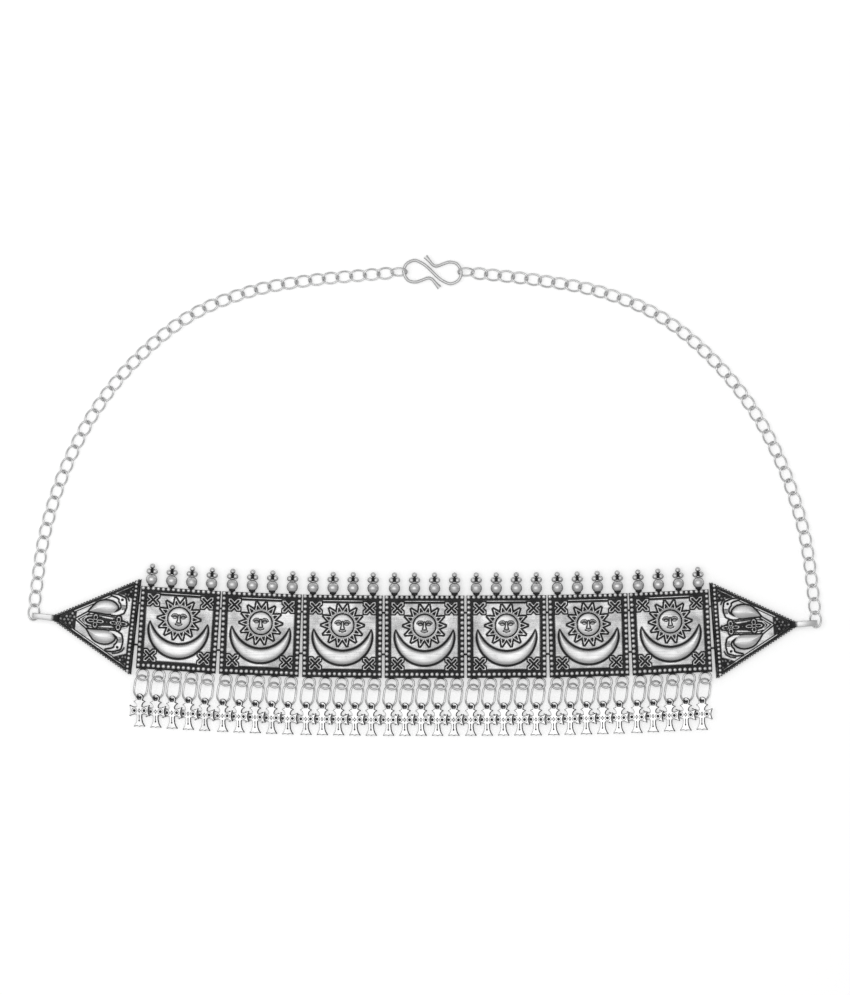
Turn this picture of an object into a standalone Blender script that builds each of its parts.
"""Choker necklace of seven cast panels between two end pieces, with drops, a neck chain and an S hook.

It lies on its back, as laid out on a table. Metres, +Z up, +X along the row of panels and +Y towards the
neck chain. The origin is the centre of the middle panel's back.
"""

import math

import bmesh
import bpy
from mathutils import Matrix, Vector

NECKLACE = "choker_necklace"

# Square panels
PANEL_WIDTH = 0.0199
PANEL_HEIGHT = 0.0206
PANEL_GAP = 0.0006
FIELD_THICKNESS = 0.0017
BORDER_RISE = 0.00025
BORDER_WIDTH = 0.0014
# Degrees that each piece of the band leans, from the left end piece to the right one
BAND_TILTS = (-6.3, -3.8, -2.3, -0.7, 0.0, 0.3, 1.4, 2.7, 4.2)

# Relief of a panel
RELIEF_SINK = 0.0002
SUN_UP = 0.00277
SUN_RAYS = 14
SUN_TIP_RADIUS = 0.0055
SUN_RING_RADIUS = 0.0039
SUN_RISE = 0.0004
FACE_RADIUS = 0.0028
FACE_TOP_SHARE = 0.62
FACE_RISE = 0.0009
CRESCENT_UP = 0.00042
CRESCENT_RADIUS = 0.0073
CRESCENT_HOLLOW_RADIUS = 0.00746
CRESCENT_WAIST = 0.00324
CRESCENT_RISE = 0.0007
FLOWER_RADIUS = 0.0019
FLOWER_WAIST_SHARE = 0.42
FLOWER_RISE = 0.0004
FLOWER_MARGIN = 0.0005

# Finials on a panel's upper edge
FINIALS_PER_PANEL = 4
FINIAL_MARGIN = 0.00245
BALL_RADIUS = 0.00142
BALL_UP = 0.0018
SPINE_THICKNESS = 0.0011
SPINE_HALF_WIDTH = 0.00034
CREST_HEIGHT = 0.0043
CREST_HALF_WIDTH = 0.0014
CREST_SHOULDER = 0.0022
CREST_ROOT_SHARE = 0.8

# Rings under a panel and the drops that hang in them
DROPS_PER_PANEL = 5
RING_MARGIN = 0.0018
RING_DIAMETER = 0.0034
RING_WIRE = 0.00055
RING_TUCK = 0.0003
DROP_LINK_LENGTH = 0.0061
DROP_LINK_WIDTH = 0.0044
DROP_LINK_WIRE = 0.00055
DROP_SWING = 8.0
CROSSING_PLAY = 0.00016
FLOOR_CLEARANCE = 0.0001
CHARM_THICKNESS = 0.0007
CHARM_PLAY = 0.0003
CHARM_LENGTH = 0.0085
CHARM_EYE_SHARE = 0.12
CHARM_ARM_SHARE = 0.39
CHARM_HALF_SPAN = 0.0026
CHARM_STEM_HALF_WIDTH = 0.0007
CHARM_FOOT_HALF_WIDTH = 0.00145

# Joining link in a seam, and the wall and holes that hold it
JOINING_WIRE = 0.0005
JOINING_PLAY = 0.0003
JOINING_UPPER = 0.0060
JOINING_LOWER = -0.0044
SIDE_WALL = 0.00075
HOLE_SILL = 0.00025
HOLE_PLAY = 0.00022

# Triangular end pieces and their bails
END_LENGTH = 0.0209
END_WIDTH = 0.0240
END_BORDER = 0.0012
END_FLOWER_RADIUS = 0.0021
END_FLOWER_WAIST_SHARE = 0.35
END_FLOWER_SHARES = (0.21, 0.48)
BIRD_LENGTH = 0.0070
BIRD_WIDTH = 0.0036
BIRD_RISE = 0.0006
BIRD_TURN = 12.0
BIRD_ALONG_SHARE = 0.38
BIRD_ACROSS_SHARE = 0.145
BAIL_LENGTH = 0.0053
BAIL_WIDTH = 0.0015
BAIL_WALL = 0.0008
BAIL_SLOT_HEIGHT = 0.0012
BAIL_SLOT_LENGTH = 0.0034
BAIL_BRIDGE = 0.00065
BAIL_ROOT = 0.0016
BAIL_CORNER = 0.00075

# Neck chain
CHAIN_LINK_LENGTH = 0.0045
CHAIN_LINK_WIDTH = 0.0032
CHAIN_LINK_WIRE = 0.0005
CHAIN_LINK_PLAY = 0.00015
CHAIN_DIAMETER = 0.0022
CHAIN_POINT_SPACING = 2.9 * CHAIN_DIAMETER
# Route of the right half from the end piece up to the clasp; the left half is its mirror image
CHAIN_ROUTE = (
    (0.0970, 0.0117),
    (0.0948, 0.0261),
    (0.0898, 0.0418),
    (0.0823, 0.0564),
    (0.0719, 0.0694),
    (0.0590, 0.0799),
    (0.0445, 0.0860),
    (0.0290, 0.0890),
)

# S hook
CLASP_CENTRE = (0.0020, 0.0911)
CLASP_WIRE = 0.0008
CLASP_HALF_LENGTH = 0.00715
CLASP_EYE_SHARE = 0.36
CLASP_POINT_SPACING = 0.3 * CLASP_HALF_LENGTH
# Half of the hook's wire from its middle to a tail's tip, as shares of its half length
CLASP_ROUTE = (
    (0.0, 0.0),
    (-0.21, 0.20),
    (-0.42, 0.34),
    (-0.65, 0.41),
    (-0.92, 0.27),
    (-1.0, -0.01),
    (-0.86, -0.28),
    (-0.60, -0.35),
    (-0.36, -0.28),
    (-0.17, -0.21),
    (-0.03, -0.24),
    (0.09, -0.37),
    (0.25, -0.55),
)

LINK_SIDES = 10
JOINING_SIDES = 8
WIRE_SIDES = 5
BALL_BANDS = 2
WELD_DISTANCE = 1e-6
FLAT_ANGLE = math.radians(0.1)


def clear_scene():
    for existing in list(bpy.data.objects):
        bpy.data.objects.remove(existing)


def metal(name, colour, roughness):
    """A Principled metal."""
    material = bpy.data.materials.new(name)
    material.use_nodes = True
    shader = material.node_tree.nodes["Principled BSDF"]
    shader.inputs["Base Color"].default_value = (*colour, 1.0)
    shader.inputs["Roughness"].default_value = roughness
    shader.inputs["Metallic"].default_value = 1.0
    return material


def place(mesh, name, matrix=None):
    """A new object of the mesh, in the necklace's collection."""
    thing = bpy.data.objects.new(name, mesh)
    parts.objects.link(thing)
    if matrix is not None:
        thing.matrix_world = matrix
    return thing


def evaluated_mesh(thing):
    """The object's mesh with its modifiers or curve geometry applied."""
    bpy.context.view_layer.update()
    depsgraph = bpy.context.evaluated_depsgraph_get()
    return bpy.data.meshes.new_from_object(thing.evaluated_get(depsgraph))


def join_flat_faces(mesh):
    """Faces that lie in one plane become one face."""
    shape = bmesh.new()
    shape.from_mesh(mesh)
    bmesh.ops.remove_doubles(shape, verts=shape.verts, dist=WELD_DISTANCE)
    bmesh.ops.dissolve_limit(shape, angle_limit=FLAT_ANGLE, verts=shape.verts, edges=shape.edges)
    bmesh.ops.recalc_face_normals(shape, faces=shape.faces)
    shape.to_mesh(mesh)
    shape.free()


def combine(body, tools, operation="UNION"):
    """The body after a Boolean with each tool in turn. The tools are used up."""
    for tool in tools:
        modifier = body.modifiers.new("combine", "BOOLEAN")
        modifier.operation = operation
        modifier.solver = "EXACT"
        modifier.object = tool
        body.data = evaluated_mesh(body)
        body.modifiers.clear()
        bpy.data.objects.remove(tool)
    join_flat_faces(body.data)
    return body


def curve_to_body(curve, name):
    """The closed mesh object of a curve, which is removed."""
    drawn = bpy.data.objects.new(name, curve)
    parts.objects.link(drawn)
    mesh = evaluated_mesh(drawn)
    bpy.data.objects.remove(drawn)
    join_flat_faces(mesh)
    return place(mesh, name)


def outline(rings, low, high, name="outline"):
    """A flat solid between two heights, from an outer ring of points and any holes."""
    curve = bpy.data.curves.new(name, "CURVE")
    curve.dimensions = "2D"
    curve.fill_mode = "BOTH"
    curve.extrude = (high - low) / 2
    for loop in rings:
        spline = curve.splines.new("POLY")
        spline.points.add(len(loop) - 1)
        for point, (x, y) in zip(spline.points, loop):
            point.co = (x, y, 0.0, 1.0)
        spline.use_cyclic_u = True
    body = curve_to_body(curve, name)
    body.data.transform(Matrix.Translation((0.0, 0.0, (high + low) / 2)))
    return body


def wire(points, diameter, resolution, name="wire"):
    """A round wire with closed ends through the points."""
    curve = bpy.data.curves.new(name, "CURVE")
    curve.dimensions = "3D"
    curve.bevel_depth = diameter / 2
    curve.bevel_resolution = resolution
    curve.use_fill_caps = True
    spline = curve.splines.new("POLY")
    spline.points.add(len(points) - 1)
    for point, position in zip(spline.points, points):
        point.co = (*position, 1.0)
    return curve_to_body(curve, name)


def box(low, high, name="box"):
    """A block between two opposite corners."""
    shape = bmesh.new()
    bmesh.ops.create_cube(shape, size=1.0)
    size = Vector(high) - Vector(low)
    middle = (Vector(high) + Vector(low)) / 2
    bmesh.ops.scale(shape, verts=shape.verts, vec=size)
    bmesh.ops.translate(shape, verts=shape.verts, vec=middle)
    mesh = bpy.data.meshes.new(name)
    shape.to_mesh(mesh)
    shape.free()
    return place(mesh, name)


def ball(radius, centre, name="ball"):
    """A faceted ball whose poles point along Z."""
    shape = bmesh.new()
    bmesh.ops.create_uvsphere(shape, u_segments=LINK_SIDES, v_segments=BALL_BANDS + 1, radius=radius)
    bmesh.ops.translate(shape, verts=shape.verts, vec=centre)
    mesh = bpy.data.meshes.new(name)
    shape.to_mesh(mesh)
    shape.free()
    return place(mesh, name)


def dome(radius, top_radius, low, high, centre, sides, name="dome"):
    """A low frustum with its axis along Z."""
    shape = bmesh.new()
    bmesh.ops.create_cone(shape, cap_ends=True, segments=sides, radius1=radius, radius2=top_radius,
                          depth=high - low)
    bmesh.ops.translate(shape, verts=shape.verts, vec=(centre[0], centre[1], (low + high) / 2))
    mesh = bpy.data.meshes.new(name)
    shape.to_mesh(mesh)
    shape.free()
    return place(mesh, name)


def ring(length, width, thickness, corner=None, segments=LINK_SIDES, name="ring"):
    """A wire ring of the length along Y and the width along X, a torus whose four quarters are moved apart.
    The corner is the bend's radius at the wire's middle, as wide as the ring where none is given."""
    bend = corner or (min(length, width) - thickness) / 2
    bpy.ops.mesh.primitive_torus_add(
        major_segments=segments,
        minor_segments=WIRE_SIDES,
        major_radius=bend,
        minor_radius=thickness / 2,
    )
    made = bpy.context.object
    mesh = made.data
    bpy.data.objects.remove(made)
    mesh.transform(Matrix.Rotation(math.pi / segments, 4, "Z"))
    for vertex in mesh.vertices:
        vertex.co.x += math.copysign((width - thickness) / 2 - bend, vertex.co.x)
        vertex.co.y += math.copysign((length - thickness) / 2 - bend, vertex.co.y)
    return place(mesh, name)


def oriented(thing, matrix):
    """The object with its mesh moved by the matrix."""
    thing.data.transform(matrix)
    return thing


def turned(degrees, axis="Z"):
    """A rotation about an axis through the origin."""
    return Matrix.Rotation(math.radians(degrees), 4, axis)


def star(points, tip_radius, valley_radius, start=0.0):
    """Points of a star about the origin. The first tip is at the start angle in degrees."""
    ring_points = []
    for index in range(2 * points):
        radius = valley_radius if index % 2 else tip_radius
        angle = math.radians(start) + math.pi * index / points
        ring_points.append((radius * math.cos(angle), radius * math.sin(angle)))
    return ring_points


def shifted(points, x, y):
    """The points moved by the given distances."""
    return [(px + x, py + y) for px, py in points]


def spread(count, span):
    """Evenly spaced places, centred on zero, across the span."""
    return [span * (index / (count - 1) - 0.5) for index in range(count)]


def smooth_route(points, spacing):
    """Points at an even spacing along the Catmull-Rom curve through the given points."""
    ends = [points[0] * 2 - points[1], *points, points[-1] * 2 - points[-2]]
    fine = []
    steps = 24
    for before, start, stop, after in zip(ends, ends[1:], ends[2:], ends[3:]):
        for step in range(steps):
            t = step / steps
            fine.append(
                0.5 * (2 * start + (stop - before) * t
                       + (2 * before - 5 * start + 4 * stop - after) * t ** 2
                       + (3 * start - before - 3 * stop + after) * t ** 3)
            )
    fine.append(points[-1])
    lengths = [(b - a).length for a, b in zip(fine, fine[1:])]
    count = max(round(sum(lengths) / spacing), 2)
    even = sum(lengths) / count
    route = [fine[0]]
    walked = 0.0
    for a, b, length in zip(fine, fine[1:], lengths):
        while len(route) < count and walked + length >= even * len(route):
            route.append(a.lerp(b, (even * len(route) - walked) / length))
        walked += length
    route.append(fine[-1])
    return route


def crossing_half_width(radius_a, radius_b, overlap):
    """Half the distance between the crossings of two circles whose edges overlap by the given length."""
    apart = radius_a + radius_b - overlap
    along = (apart ** 2 + radius_a ** 2 - radius_b ** 2) / (2 * apart)
    return math.sqrt(radius_a ** 2 - along ** 2)


def lean_to_clear(half_width, wire_a, wire_b):
    """Degrees that a link leans about its length, so that its wire passes over and under the other's."""
    lift = (wire_a + wire_b) / 2 + CROSSING_PLAY
    return math.degrees(math.asin(lift / half_width))


# Heights and leans that follow from the wires
plate_top = FIELD_THICKNESS + BORDER_RISE
ring_radius = (RING_DIAMETER - RING_WIRE) / 2
drop_link_radius = (DROP_LINK_WIDTH - DROP_LINK_WIRE) / 2
ring_drop = PANEL_HEIGHT / 2 + RING_DIAMETER / 2 - RING_TUCK
ring_pitch = (PANEL_WIDTH - 2 * RING_MARGIN) / (DROPS_PER_PANEL - 1)
link_overlap = RING_DIAMETER / 2 - DROP_LINK_WIRE / 2 - RING_WIRE / 2
drop_lean = lean_to_clear(
    crossing_half_width(ring_radius, drop_link_radius, link_overlap),
    RING_WIRE,
    DROP_LINK_WIRE,
)
drop_height = (
    drop_link_radius * math.sin(math.radians(drop_lean)) + DROP_LINK_WIRE / 2 + FLOOR_CLEARANCE
)
joining_height = HOLE_SILL + HOLE_PLAY + JOINING_WIRE / 2
hole_top = HOLE_SILL + 2 * HOLE_PLAY + JOINING_WIRE
joining_reach = PANEL_GAP / 2 + SIDE_WALL + JOINING_PLAY + JOINING_WIRE / 2
groove_width = JOINING_WIRE + 2 * JOINING_PLAY
bail_height = BAIL_BRIDGE + BAIL_SLOT_HEIGHT / 2
chain_link_radius = (CHAIN_LINK_WIDTH - CHAIN_LINK_WIRE) / 2
clasp_link_overlap = CLASP_WIRE / 2 + CHAIN_LINK_WIRE / 2 + CHAIN_LINK_PLAY
clasp_eye_radius = CLASP_EYE_SHARE * CLASP_HALF_LENGTH
clasp_lean = lean_to_clear(
    crossing_half_width(clasp_eye_radius, chain_link_radius, clasp_link_overlap),
    CLASP_WIRE,
    CHAIN_LINK_WIRE,
)
clasp_height = (
    chain_link_radius * math.sin(math.radians(clasp_lean)) + CHAIN_LINK_WIRE / 2 + FLOOR_CLEARANCE
)


def seam_cutters(side):
    """Groove at the back and two holes through the side wall, at the side X = 0 of a piece that lies towards
    the given side."""
    far = SIDE_WALL + groove_width
    margin = JOINING_PLAY
    span = (JOINING_LOWER - JOINING_WIRE / 2 - margin, JOINING_UPPER + JOINING_WIRE / 2 + margin)
    x_groove = sorted((side * SIDE_WALL, side * far))
    x_hole = sorted((-side * margin, side * (SIDE_WALL + groove_width / 2)))
    cutters = [box((x_groove[0], span[0], -margin), (x_groove[1], span[1], hole_top))]
    for y in (JOINING_LOWER, JOINING_UPPER):
        half = JOINING_WIRE / 2 + JOINING_PLAY
        cutters.append(box((x_hole[0], y - half, HOLE_SILL), (x_hole[1], y + half, hole_top - HOLE_PLAY / 4)))
    return cutters


def crescent_points():
    """Outline of the crescent with its horns up."""
    hollow_up = CRESCENT_UP - CRESCENT_RADIUS + CRESCENT_WAIST + CRESCENT_HOLLOW_RADIUS
    apart = hollow_up - CRESCENT_UP
    horn_up = (CRESCENT_RADIUS ** 2 - CRESCENT_HOLLOW_RADIUS ** 2 + apart ** 2) / (2 * apart)
    outer_half = math.acos(-horn_up / CRESCENT_RADIUS)
    hollow_half = math.acos((apart - horn_up) / CRESCENT_HOLLOW_RADIUS)
    points = []
    outer_steps = 9
    for step in range(outer_steps + 1):
        angle = outer_half * (1 - 2 * step / outer_steps)
        points.append((CRESCENT_RADIUS * math.sin(angle), CRESCENT_UP - CRESCENT_RADIUS * math.cos(angle)))
    inner_steps = 6
    for step in range(1, inner_steps):
        angle = hollow_half * (2 * step / inner_steps - 1)
        points.append(
            (CRESCENT_HOLLOW_RADIUS * math.sin(angle), hollow_up - CRESCENT_HOLLOW_RADIUS * math.cos(angle))
        )
    return points


def crest_points():
    """Outline of the crest of three granules on a finial's ball, whose centre is the origin."""
    return [
        (SPINE_HALF_WIDTH, CREST_ROOT_SHARE * BALL_RADIUS),
        (CREST_HALF_WIDTH, CREST_SHOULDER),
        (0.0, CREST_HEIGHT),
        (-CREST_HALF_WIDTH, CREST_SHOULDER),
        (-SPINE_HALF_WIDTH, CREST_ROOT_SHARE * BALL_RADIUS),
    ]


def panel_mesh():
    """A panel about the centre of its back."""
    half_width = PANEL_WIDTH / 2
    half_height = PANEL_HEIGHT / 2
    body = box((-half_width, -half_height, 0.0), (half_width, half_height, plate_top), "panel")
    sunk_x = half_width - BORDER_WIDTH
    sunk_y = half_height - BORDER_WIDTH
    combine(body, [box((-sunk_x, -sunk_y, FIELD_THICKNESS), (sunk_x, sunk_y, 2 * plate_top))], "DIFFERENCE")
    low = FIELD_THICKNESS - RELIEF_SINK
    relief = [
        outline([crescent_points()], low, FIELD_THICKNESS + CRESCENT_RISE),
        outline([shifted(star(SUN_RAYS, SUN_TIP_RADIUS, SUN_RING_RADIUS, 90 + 180 / SUN_RAYS), 0.0, SUN_UP)],
                low, FIELD_THICKNESS + SUN_RISE),
        dome(FACE_RADIUS, FACE_TOP_SHARE * FACE_RADIUS, FIELD_THICKNESS + SUN_RISE / 2,
             FIELD_THICKNESS + FACE_RISE, (0.0, SUN_UP), LINK_SIDES),
    ]
    flower_x = sunk_x - FLOWER_MARGIN - FLOWER_RADIUS * math.sin(math.radians(45))
    flower_y = sunk_y - FLOWER_MARGIN - FLOWER_RADIUS * math.sin(math.radians(45))
    for x in (-flower_x, flower_x):
        for y in (-flower_y, flower_y):
            petals = star(4, FLOWER_RADIUS, FLOWER_WAIST_SHARE * FLOWER_RADIUS, 45)
            relief.append(outline([shifted(petals, x, y)], low, FIELD_THICKNESS + FLOWER_RISE))
    combine(body, relief)
    ball_height = BALL_RADIUS + FLOOR_CLEARANCE / 2
    for x in spread(FINIALS_PER_PANEL, PANEL_WIDTH - 2 * FINIAL_MARGIN):
        y = half_height + BALL_UP
        spine_low = ball_height - SPINE_THICKNESS / 2
        spine_high = ball_height + SPINE_THICKNESS / 2
        neck = box((x - SPINE_HALF_WIDTH, half_height - BORDER_WIDTH / 4, spine_low),
                   (x + SPINE_HALF_WIDTH, y - BALL_RADIUS / 2, spine_high))
        crest = outline([shifted(crest_points(), x, y)], spine_low, spine_high)
        combine(body, [combine(neck, [ball(BALL_RADIUS, (x, y, ball_height)), crest])])
    for x in spread(DROPS_PER_PANEL, PANEL_WIDTH - 2 * RING_MARGIN):
        hanger = ring(RING_DIAMETER, RING_DIAMETER, RING_WIRE)
        combine(body, [oriented(hanger, Matrix.Translation((x, -ring_drop, drop_height)))])
    for side in (-1, 1):
        cutters = [oriented(cutter, Matrix.Translation((-side * half_width, 0.0, 0.0)))
                   for cutter in seam_cutters(side)]
        combine(body, cutters, "DIFFERENCE")
    mesh = body.data
    bpy.data.objects.remove(body)
    return mesh


def bail():
    """The flat loop at the end piece's tip, with its slot across Y. The tip is at X = END_LENGTH."""
    far = END_LENGTH + BAIL_LENGTH
    high = 2 * bail_height
    corner = BAIL_CORNER
    outer = [
        (END_LENGTH - BAIL_ROOT, 0.0),
        (far - corner, 0.0),
        (far, corner),
        (far, high - corner),
        (far - corner, high),
        (END_LENGTH - BAIL_ROOT / 4, high),
        (END_LENGTH - BAIL_ROOT, plate_top),
    ]
    slot_far = far - BAIL_WALL
    slot = [
        (slot_far - BAIL_SLOT_LENGTH, BAIL_BRIDGE),
        (slot_far, BAIL_BRIDGE),
        (slot_far, high - BAIL_BRIDGE),
        (slot_far - BAIL_SLOT_LENGTH, high - BAIL_BRIDGE),
    ]
    loop = outline([outer, slot], -BAIL_WIDTH / 2, BAIL_WIDTH / 2)
    return oriented(loop, turned(90, "X"))


def bird_points():
    """Outline of a bird's body, a drop shape with its tail towards +X."""
    tail = BIRD_LENGTH / 2
    half = BIRD_WIDTH / 2
    shares = ((1.0, 0.0), (0.3, 0.7), (-0.3, 1.0), (-0.8, 0.75), (-1.0, 0.0), (-0.7, -0.8), (-0.1, -0.9),
              (0.5, -0.5))
    return [(tail * x, half * y) for x, y in shares]


def end_mesh(side):
    """An end piece that points to the given side, with the middle of its wide edge's back at the origin."""
    half = END_WIDTH / 2
    body = outline([[(0.0, -half), (END_LENGTH, -BAIL_WIDTH / 4), (END_LENGTH, BAIL_WIDTH / 4), (0.0, half)]],
                   0.0, plate_top, "end")
    slope = math.atan2(half, END_LENGTH)
    sunk_near = 2 * END_BORDER
    sunk_far = END_LENGTH - END_BORDER / math.sin(slope)
    sunk_half = half - sunk_near * math.tan(slope) - END_BORDER / math.cos(slope)
    sunk = outline([[(sunk_near, -sunk_half), (sunk_far, 0.0), (sunk_near, sunk_half)]],
                   FIELD_THICKNESS, 2 * plate_top)
    combine(body, [sunk], "DIFFERENCE")
    low = FIELD_THICKNESS - RELIEF_SINK
    relief = [bail()]
    for share in END_FLOWER_SHARES:
        petals = star(4, END_FLOWER_RADIUS, END_FLOWER_WAIST_SHARE * END_FLOWER_RADIUS)
        relief.append(outline([shifted(petals, share * END_LENGTH, 0.0)], low, FIELD_THICKNESS + FLOWER_RISE))
    for across in (-1, 1):
        bird = outline([[(x, across * y) for x, y in bird_points()]], low, FIELD_THICKNESS + BIRD_RISE)
        middle = (BIRD_ALONG_SHARE * END_LENGTH, across * BIRD_ACROSS_SHARE * END_WIDTH, 0.0)
        relief.append(oriented(bird, Matrix.Translation(middle) @ turned(-BIRD_TURN * across)))
    combine(body, relief)
    combine(body, seam_cutters(1), "DIFFERENCE")
    mesh = body.data
    bpy.data.objects.remove(body)
    if side < 0:
        mesh.transform(Matrix.Diagonal((-1.0, 1.0, 1.0, 1.0)))
        mesh.flip_normals()
    return mesh


def charm_points():
    """Outline of the cross with splayed ends, with the centre of its eye at the origin."""
    eye = CHARM_EYE_SHARE * CHARM_LENGTH
    foot = eye - CHARM_LENGTH
    arm = -CHARM_ARM_SHARE * CHARM_LENGTH
    stem = CHARM_STEM_HALF_WIDTH
    right = [
        (0.6 * eye, 0.9 * eye),
        (CHARM_FOOT_HALF_WIDTH, -1.1 * eye),
        (stem, arm + 0.75 * stem),
        (CHARM_HALF_SPAN, arm + 2 * stem),
        (CHARM_HALF_SPAN, arm - 2 * stem),
        (stem, arm - 0.75 * stem),
        (CHARM_FOOT_HALF_WIDTH, foot),
    ]
    return [*right, *[(-x, y) for x, y in reversed(right)]]


def drop_mesh():
    """A drop about the centre of the ring that it hangs in."""
    swing = turned(-DROP_SWING)
    link = ring(DROP_LINK_LENGTH, DROP_LINK_WIDTH, DROP_LINK_WIRE, name="drop")
    oriented(link, swing @ Matrix.Translation((0.0, -DROP_LINK_LENGTH / 2, 0.0)) @ turned(drop_lean, "Y"))
    lap = math.degrees(math.asin((CHARM_THICKNESS + CHARM_PLAY) / ring_pitch))
    charm = outline([charm_points()], -CHARM_THICKNESS / 2, CHARM_THICKNESS / 2)
    charm_height = CHARM_HALF_SPAN * math.sin(math.radians(lap)) + CHARM_THICKNESS / 2 + FLOOR_CLEARANCE
    eye = swing @ Vector((0.0, DROP_LINK_WIRE / 2 - DROP_LINK_LENGTH, 0.0))
    oriented(charm, Matrix.Translation((eye.x, eye.y, charm_height - drop_height)) @ turned(-lap, "Y"))
    combine(link, [charm])
    mesh = link.data
    bpy.data.objects.remove(link)
    return mesh


def band_frames():
    """A matrix for each piece of the band and for each seam between two, from left to right. A panel's is at
    the centre of its back and an end piece's at the middle of its wide edge."""
    tilts = [math.radians(tilt) for tilt in BAND_TILTS]
    last = len(tilts) - 1
    half_widths = [PANEL_WIDTH / 2 if 0 < index < last else 0.0 for index in range(last + 1)]
    centres = [Vector((0.0, 0.0, 0.0))]
    seams = []
    for index in range(last):
        seam_tilt = (tilts[index] + tilts[index + 1]) / 2
        own = Vector((math.cos(tilts[index]), math.sin(tilts[index]), 0.0))
        edge = centres[-1] + half_widths[index] * own
        gap = Vector((math.cos(seam_tilt), math.sin(seam_tilt), 0.0)) * PANEL_GAP
        seams.append((edge + gap / 2, seam_tilt))
        following = Vector((math.cos(tilts[index + 1]), math.sin(tilts[index + 1]), 0.0))
        centres.append(edge + gap + half_widths[index + 1] * following)
    origin = centres[last // 2]
    frames = [Matrix.Translation(centre - origin) @ Matrix.Rotation(tilt, 4, "Z")
              for centre, tilt in zip(centres, tilts)]
    seam_frames = [Matrix.Translation(middle - origin) @ Matrix.Rotation(tilt, 4, "Z")
                   for middle, tilt in seams]
    return frames, seam_frames


def joining_link_mesh():
    """The flat rectangular link of a seam, about the seam's middle."""
    length = JOINING_UPPER - JOINING_LOWER + JOINING_WIRE
    width = 2 * joining_reach + JOINING_WIRE
    link = ring(length, width, JOINING_WIRE, corner=JOINING_WIRE, segments=JOINING_SIDES)
    oriented(link, Matrix.Translation((0.0, (JOINING_UPPER + JOINING_LOWER) / 2, joining_height)))
    mesh = link.data
    bpy.data.objects.remove(link)
    return mesh


def chain_half(side, end_frame):
    """Half of the neck chain: a tube between its two end links, which hook the bail and the clasp."""
    wall = END_LENGTH + BAIL_LENGTH - BAIL_WALL / 2
    inside = CHAIN_LINK_LENGTH / 2 - CHAIN_LINK_WIRE
    rise = inside - BAIL_WIDTH / 2 - CHAIN_LINK_PLAY
    low_link = ring(CHAIN_LINK_LENGTH, CHAIN_LINK_WIDTH, CHAIN_LINK_WIRE, name="chain")
    oriented(low_link, end_frame @ Matrix.Translation((side * wall, rise, bail_height)))
    outer = rise + (CHAIN_LINK_LENGTH - CHAIN_LINK_WIRE) / 2
    start = end_frame @ Vector((side * wall, outer, 0.0))

    clasp_edge = CLASP_CENTRE[0] + side * CLASP_HALF_LENGTH
    upper_x = clasp_edge + side * (inside - CLASP_WIRE / 2 - CHAIN_LINK_PLAY)
    upper_link = ring(CHAIN_LINK_LENGTH, CHAIN_LINK_WIDTH, CHAIN_LINK_WIRE)
    lie_along_x = turned(clasp_lean, "X") @ turned(90)
    oriented(upper_link, Matrix.Translation((upper_x, CLASP_CENTRE[1], clasp_height)) @ lie_along_x)
    finish = Vector((upper_x + side * (CHAIN_LINK_LENGTH - CHAIN_LINK_WIRE) / 2, CLASP_CENTRE[1], 0.0))

    tube_height = CHAIN_DIAMETER / 2 + FLOOR_CLEARANCE
    route = [start, *[Vector((side * x, y, 0.0)) for x, y in CHAIN_ROUTE], finish]
    points = [point + Vector((0.0, 0.0, tube_height)) for point in smooth_route(route, CHAIN_POINT_SPACING)]
    tube = wire(points, CHAIN_DIAMETER, 2)
    combine(low_link, [tube, upper_link])
    mesh = low_link.data
    bpy.data.objects.remove(low_link)
    return mesh


def clasp_mesh():
    """The S hook, the same after half a turn about its middle."""
    half = [CLASP_HALF_LENGTH * Vector((x, y, 0.0)) for x, y in CLASP_ROUTE]
    route = smooth_route(half, CLASP_POINT_SPACING)
    whole = [-point for point in reversed(route[1:])] + route
    middle = Vector((*CLASP_CENTRE, clasp_height))
    hook = wire([point + middle for point in whole], CLASP_WIRE, 1)
    mesh = hook.data
    bpy.data.objects.remove(hook)
    return mesh


def add(mesh, name, material, matrix=None):
    """A finished piece."""
    if not mesh.materials:
        mesh.materials.append(material)
    mesh.materials[0] = material
    return place(mesh, name, matrix)


clear_scene()
parts = bpy.data.collections.new(NECKLACE)
bpy.context.scene.collection.children.link(parts)
blackened = metal("blackened_silver", (0.42, 0.42, 0.43), 0.42)
dark_wire = metal("dark_wire", (0.16, 0.16, 0.17), 0.5)
bright = metal("bright_silver", (0.86, 0.87, 0.88), 0.22)

piece_frames, joint_frames = band_frames()
one_panel = panel_mesh()
one_drop = drop_mesh()
drop_number = 0
for panel_number, frame in enumerate(piece_frames[1:-1], start=1):
    add(one_panel, f"panel_{panel_number}", blackened, frame)
    for ring_x in spread(DROPS_PER_PANEL, PANEL_WIDTH - 2 * RING_MARGIN):
        drop_number += 1
        hang = frame @ Vector((ring_x, -ring_drop, drop_height))
        add(one_drop, f"drop_{drop_number}", bright, Matrix.Translation(hang))
add(end_mesh(-1), "end_left", blackened, piece_frames[0])
add(end_mesh(1), "end_right", blackened, piece_frames[-1])
one_joining_link = joining_link_mesh()
for seam_number, frame in enumerate(joint_frames, start=1):
    add(one_joining_link, f"joining_link_{seam_number}", dark_wire, frame)
add(chain_half(-1, piece_frames[0]), "chain_left", bright)
add(chain_half(1, piece_frames[-1]), "chain_right", bright)
add(clasp_mesh(), "clasp", bright)
